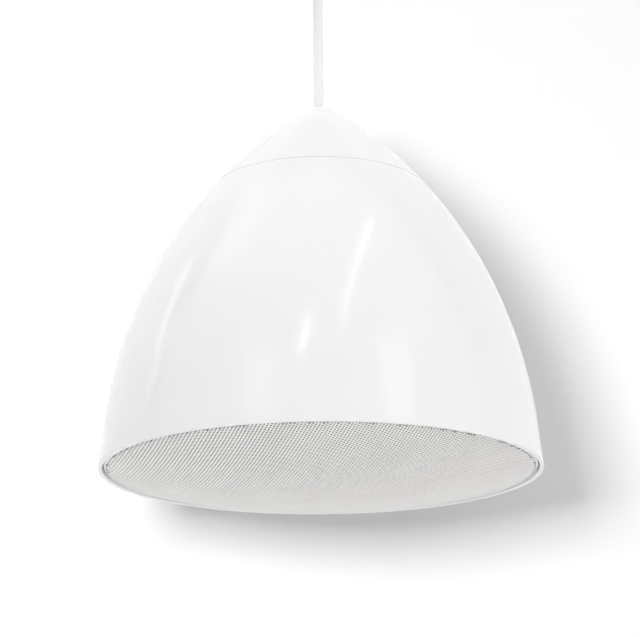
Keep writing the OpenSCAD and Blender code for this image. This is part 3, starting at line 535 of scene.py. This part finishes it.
def grille_rim():
    """Rolled edge and flange of the grille."""
    edge_x = GRILLE_R - EDGE_ROUND
    edge_z = DOME_Z - math.sqrt((DOME_R - EDGE_ROUND) ** 2 - edge_x**2)
    turn = math.atan2(edge_z - DOME_Z, edge_x)
    start = -math.acos((GRILLE_R - RIM_START) / DOME_R)
    top = REBATE - RIM_TOP_GAP
    profile = arc(0, DOME_Z, DOME_R + RIM_PROUD, start, turn, 3)
    profile += arc(edge_x, edge_z, EDGE_ROUND, turn, 0, 8)[1:]
    profile += [(GRILLE_R, top), (GRILLE_R - SHEET, top)]
    profile += arc(edge_x, edge_z, EDGE_ROUND - SHEET, 0, turn, 6)
    profile += arc(0, DOME_Z, DOME_R - SHEET, turn, start, 3)[1:]
    made = revolve("grille_rim", profile)
    dress(made, GRILLE_PAINT)
    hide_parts("grille")
    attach(made, "root")
    return made


# Cord and ceiling fitting


def cord():
    """Round taut cord from its grip under the cap to its grip in the ceiling fitting."""
    rise = (CORD_HEAD - CORD_FOOT) / (CORD_POINTS - 1)
    heights = [CORD_FOOT + rise * i for i in range(CORD_POINTS)]
    line = bpy.data.curves.new("cord", "CURVE")
    line.dimensions = "3D"
    line.bevel_depth = CORD_R * MM
    line.bevel_resolution = 10
    line.resolution_u = 1
    line.use_fill_caps = True
    spline = line.splines.new("POLY")
    spline.points.add(CORD_POINTS - 1)
    for point, z in zip(spline.points, heights):
        point.co = (0, 0, (z - HANG_H) * MM, 1)
    spline.use_smooth = True
    made = bpy.data.objects.new("cord_line", line)
    bpy.context.scene.collection.objects.link(made)
    made.data.materials.append(JACKET)
    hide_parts("cord")
    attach(made, "root")
    return made


def canopy():
    """Sheet cone with a rounded edge and a short straight side."""
    foot = CANOPY_FOOT
    side_z = HANG_H - CANOPY_SIDE_H
    slope = math.atan2(side_z - foot, CANOPY_R - CANOPY_NECK_R)
    lift = CANOPY_WALL / math.cos(slope)
    hole = NIPPLE_R + NIPPLE_GAP
    top = HANG_H - CANOPY_TOP_GAP
    bend_x = CANOPY_R - CANOPY_BEND
    bend_z = side_z - CANOPY_BEND * math.tan(slope) + CANOPY_BEND / math.cos(slope)
    low = slope - math.pi / 2
    profile = [(hole, foot + NIPPLE_EDGE), (hole + NIPPLE_EDGE, foot), (CANOPY_NECK_R, foot)]
    profile += arc(bend_x, bend_z, CANOPY_BEND, low, 0, 8)
    profile += [(CANOPY_R, top), (CANOPY_R - CANOPY_WALL, top)]
    profile += arc(bend_x, bend_z, CANOPY_BEND - CANOPY_WALL, 0, low, 6)
    profile += [(CANOPY_NECK_R, foot + lift), (hole, foot + lift)]
    made = revolve("canopy_shell", profile, steps=CANOPY_STEPS)
    dress(made, FITTING)
    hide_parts("ceiling_canopy")
    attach(made, "root")
    return made


BELL = bell()
CAP = cap()
SHEETS = perforated_sheet()
RIM = grille_rim()
canopy()
cord_piece = cord()

# Materials of the nodes that stay as CAD makes them

BLACK = (0.03, 0.03, 0.032)
NODE_MATERIALS = [
    (["ceiling_grip"], FITTING),
    (["grille_cloth"], weave("grille_cloth_weave", (0.06, 0.06, 0.06), pitch=0.0011)),
    (["tap_knob"], plain("knob_white", (0.7, 0.7, 0.68), rough=0.5)),
    (
        ["baffle", "port_tube_left", "port_tube_right", "terminal_plate", "tap_switch",
         "driver_terminals", "tweeter_housing", "tweeter_ring"],
        plain("black_mould", BLACK, rough=0.5, grain=1100.0, bump=0.00008),
    ),
    (["driver_basket"], plain("black_paint", (0.02, 0.02, 0.021), rough=0.35)),
    (
        ["baffle_gasket", "driver_gasket", "plate_gasket"],
        plain("black_foam", (0.03, 0.03, 0.03), rough=0.95, grain=2600.0, bump=0.0003),
    ),
    (["surround"], plain("black_rubber", (0.02, 0.02, 0.02), rough=0.6, grain=1500.0)),
    (["cone"], plain("cone_pulp", (0.05, 0.05, 0.055), rough=0.85, grain=700.0, bump=0.0002)),
    (
        ["tweeter_dome"],
        weave("dome_silk", (0.06, 0.06, 0.065), pitch=0.0006, rough=0.6, lift=0.00005),
    ),
    (
        ["spider", "voice_coil_former"],
        weave("spider_weave", (0.5, 0.3, 0.12), pitch=0.0009, rough=0.8, lift=0.0001),
    ),
    (
        ["voice_coil_winding", "woofer_inductor"],
        wound("copper_turns", (0.72, 0.3, 0.13), pitch=0.0008),
    ),
    (
        ["driver_magnet"],
        plain("ferrite", (0.05, 0.05, 0.052), rough=0.7, grain=900.0, bump=0.0001),
    ),
    (
        ["baffle_screws", "driver_screws", "front_plate", "pole_piece", "plate_screws",
         "tap_switch_nut", "transformer_strap", "transformer_screws", "board_posts",
         "board_screws", "hanger_yoke", "hanger_screws", "cord_grip_locknut", "ceiling_nipple",
         "ceiling_bracket"],
        brushed("zinc_plate", (0.62, 0.63, 0.64), rough=0.35),
    ),
    (
        ["tweeter_post", "tweeter_magnet", "tap_shaft", "cord_grip", "cord_grip_nut",
         "plug_screws"],
        brushed("nickel_plate", (0.72, 0.71, 0.69), rough=0.22, turned=True),
    ),
    (
        ["wadding"],
        plain("wadding", (0.7, 0.7, 0.67), rough=1.0, spread=0.2, grain=420.0, bump=0.003),
    ),
    (["driver_wires"], plain("red_insulation", (0.5, 0.02, 0.015), rough=0.4)),
    (["cord_conductors"], plain("brown_insulation", (0.16, 0.07, 0.03), rough=0.4)),
    (["socket", "plug"], plain("green_connector", (0.02, 0.2, 0.07), rough=0.45)),
    (
        ["transformer_core"],
        wound("laminations", (0.3, 0.3, 0.31), pitch=0.0005, axis="X", metal=0.8, rough=0.5),
    ),
    (["transformer_winding"], plain("yellow_tape", (0.7, 0.5, 0.06), rough=0.3, grain=300.0)),
    (["circuit_board"], plain("board_green", (0.01, 0.12, 0.05), rough=0.3, grain=500.0)),
    (["capacitors"], plain("blue_sleeve", (0.01, 0.06, 0.25), rough=0.25)),
    (["resistor"], plain("cement", (0.7, 0.68, 0.6), rough=0.9, grain=1300.0, bump=0.0002)),
]
for names, material in NODE_MATERIALS:
    for name in names:
        dress(NODES[name], material)

# Camera, from the solved view of the photograph

IMAGE_WIDTH = 640
FOCAL_PX = 1834.0
SENSOR_MM = 36.0
CLIP = (0.05, 50)
CAMERA_BACK = 1246.0
CAMERA_BELOW_LIP = 264.5
CAMERA_PITCH = math.radians(16.8)
CAMERA_ROLL = math.radians(-0.37)


def camera():
    data = bpy.data.cameras.new("camera")
    data.sensor_width = SENSOR_MM
    data.lens = SENSOR_MM * FOCAL_PX / IMAGE_WIDTH
    data.clip_start, data.clip_end = CLIP
    made = bpy.data.objects.new("camera", data)
    bpy.context.scene.collection.objects.link(made)
    made.location = (0, -CAMERA_BACK * MM, (-CAMERA_BELOW_LIP - HANG_H) * MM)
    ahead = Vector((0, math.cos(CAMERA_PITCH), math.sin(CAMERA_PITCH)))
    up = Vector((0, -math.sin(CAMERA_PITCH), math.cos(CAMERA_PITCH)))
    right = ahead.cross(up)
    turned_right = right * math.cos(CAMERA_ROLL) + up * math.sin(CAMERA_ROLL)
    turned_up = up * math.cos(CAMERA_ROLL) - right * math.sin(CAMERA_ROLL)
    made.matrix_world = Matrix(
        (
            (turned_right.x, turned_up.x, -ahead.x, made.location.x),
            (turned_right.y, turned_up.y, -ahead.y, made.location.y),
            (turned_right.z, turned_up.z, -ahead.z, made.location.z),
            (0, 0, 0, 1),
        )
    )
    bpy.context.scene.camera = made


camera()

# Stage: a pale wall behind, a pale floor far below, a white world


def seen_rays(tree):
    """Socket that is 1 for camera, glossy and transmission rays, and 0 for the rest."""
    path = tree.nodes.new("ShaderNodeLightPath")
    seen = path.outputs["Is Camera Ray"]
    for kind in ("Is Glossy Ray", "Is Transmission Ray"):
        either = tree.nodes.new("ShaderNodeMath")
        either.operation = "MAXIMUM"
        tree.links.new(seen, either.inputs[0])
        tree.links.new(path.outputs[kind], either.inputs[1])
        seen = either.outputs[0]
    return seen


def stage_white(name, base, glow):
    """Pale surface, white to the camera where no shadow falls, and clear from behind."""
    m = Nodes(name)
    m.set(Roughness=1.0, Specular_IOR_Level=0.0, Base_Color=(base, base, base, 1))
    facing = m.add("ShaderNodeNewGeometry")
    strength = m.add("ShaderNodeMath", operation="MULTIPLY")
    strength.inputs[1].default_value = glow
    m.link(seen_rays(m.tree), strength.inputs[0])
    glowing = m.add("ShaderNodeEmission")
    m.link(strength.outputs[0], glowing.inputs["Strength"])
    both = m.add("ShaderNodeAddShader")
    m.link(m.bsdf.outputs[0], both.inputs[0])
    m.link(glowing.outputs[0], both.inputs[1])
    clear = m.add("ShaderNodeBsdfTransparent")
    pick = m.add("ShaderNodeMixShader")
    m.link(facing.outputs["Backfacing"], pick.inputs["Fac"])
    m.link(both.outputs[0], pick.inputs[1])
    m.link(clear.outputs[0], pick.inputs[2])
    m.link(pick.outputs[0], m.out.inputs["Surface"])
    return m.material


def sheet_of(name, corners, material):
    mesh = bpy.data.meshes.new(name)
    mesh.from_pydata(corners, [], [tuple(range(len(corners)))])
    made = bpy.data.objects.new(name, mesh)
    bpy.context.scene.collection.objects.link(made)
    made.data.materials.append(material)
    return made


WALL_Y = 0.21
WALL_TOP = 4
FLOOR_Z = -1.6
STAGE_SIDE = 6
WALL_BASE = 0.45
FLOOR_BASE = 0.8
STAGE_GLOW = 0.1
WALL = sheet_of(
    "wall",
    [(-STAGE_SIDE, WALL_Y, FLOOR_Z), (STAGE_SIDE, WALL_Y, FLOOR_Z),
     (STAGE_SIDE, WALL_Y, WALL_TOP), (-STAGE_SIDE, WALL_Y, WALL_TOP)],
    stage_white("wall_white", WALL_BASE, STAGE_GLOW),
)
FLOOR = sheet_of(
    "floor",
    [(-STAGE_SIDE, -STAGE_SIDE, FLOOR_Z), (STAGE_SIDE, -STAGE_SIDE, FLOOR_Z),
     (STAGE_SIDE, WALL_Y, FLOOR_Z), (-STAGE_SIDE, WALL_Y, FLOOR_Z)],
    stage_white("floor_white", FLOOR_BASE, STAGE_GLOW),
)

# Strength of the white world as a light, and as it is seen
WORLD_LIGHT = 0.595
WORLD_SEEN = 1.0


def world():
    made = bpy.data.worlds.new("world")
    bpy.context.scene.world = made
    made.use_nodes = True
    tree = made.node_tree
    background = tree.nodes["Background"]
    mix = tree.nodes.new("ShaderNodeMapRange")
    mix.inputs["To Min"].default_value = WORLD_LIGHT
    mix.inputs["To Max"].default_value = WORLD_SEEN
    tree.links.new(seen_rays(tree), mix.inputs["Value"])
    tree.links.new(mix.outputs["Result"], background.inputs["Strength"])
    background.inputs["Color"].default_value = (1, 1, 1, 1)


world()

CENTRE = (0, 0, -0.3)


def lamp(name, place, aim, size, watts, height=None, shine=False):
    """Soft area lamp; it shows as a reflection only where shine is set."""
    data = bpy.data.lights.new(name, "AREA")
    data.shape = "RECTANGLE"
    data.size = size
    data.size_y = height or size
    data.energy = watts
    made = bpy.data.objects.new(name, data)
    bpy.context.scene.collection.objects.link(made)
    made.location = place
    way = Vector(aim) - Vector(place)
    made.rotation_euler = way.to_track_quat("-Z", "Y").to_euler()
    made.visible_camera = False
    made.visible_glossy = shine
    return made


def glint(name, place, wide, high, watts):
    """Lamp that only shows as a reflection."""
    made = lamp(name, place, CENTRE, wide, watts, height=high, shine=True)
    made.visible_diffuse = False
    return made


def strip(name, start, end, width, watts):
    """Long narrow lamp between two points, turned to face the object."""
    low, high = Vector(start), Vector(end)
    middle = (low + high) / 2
    made = glint(name, middle, width, (high - low).length, watts)
    along = (high - low).normalized()
    back = (middle - Vector(CENTRE)).normalized()
    back = (back - along * back.dot(along)).normalized()
    across = along.cross(back)
    made.rotation_euler = Matrix((across, along, back)).transposed().to_euler()
    return made


def backdrop_lamp(place, size, watts):
    """Lamp that lights only the stage, so that the bell's shadow falls on a white wall."""
    stage = bpy.data.collections.new("stage_light")
    for piece in (WALL, FLOOR):
        stage.objects.link(piece)
    bell_alone = bpy.data.collections.new("stage_shadow")
    for piece in (BELL, CAP, RIM, *SHEETS):
        bell_alone.objects.link(piece)
    made = lamp("backdrop", place, CENTRE, size, watts)
    made.light_linking.receiver_collection = stage
    made.light_linking.blocker_collection = bell_alone


# Lamps: places in metres in the row frame, sizes in metres, power in watts
backdrop_lamp((-0.31, -1.3, -0.44), size=0.3, watts=28)
lamp("front", (0.3, -2.2, 0.2), CENTRE, size=1.5, watts=9)
lamp("right_panel", (1.6, -0.4, -0.3), CENTRE, size=1.8, watts=8.4)
lamp("top_left", (-0.9, -0.5, 1.0), CENTRE, size=1.2, watts=10.2)
lamp("top_right", (0.9, -0.5, 1.0), CENTRE, size=1.2, watts=2.7)
lamp("low_panel", (0.0, -0.9, -1.5), (0, 0, -0.4), size=1.4, watts=3.5)

# Reflections: a glow and streaks of light on the bell, and two broad spots
strip("soft_glow", (-0.31, 0.05, 0.53), (-0.56, -0.2, 0.33), width=0.26, watts=0.22)
strip("left_streak", (-0.62, 0.14, 0.26), (-0.79, 0.1, 0.02), width=0.024, watts=0.09)
strip("faint_streak", (-0.74, -0.05, 0.14), (-0.83, 0.1, -0.09), width=0.024, watts=0.05)
strip("centre_streak", (0.52, -0.3, 0.95), (0.22, -1.1, 0.5), width=0.04, watts=0.6)
strip("short_streak", (-0.11, -1.09, 0.55), (-0.22, -1.21, 0.34), width=0.04, watts=0.35)
glint("left_spot", (-0.68, -1.12, 0.24), wide=0.36, high=0.3, watts=0.45)
glint("right_spot", (0.8, -1.0, 0.25), wide=0.36, high=0.4, watts=0.7)

bpy.context.scene.view_settings.view_transform = "Standard"
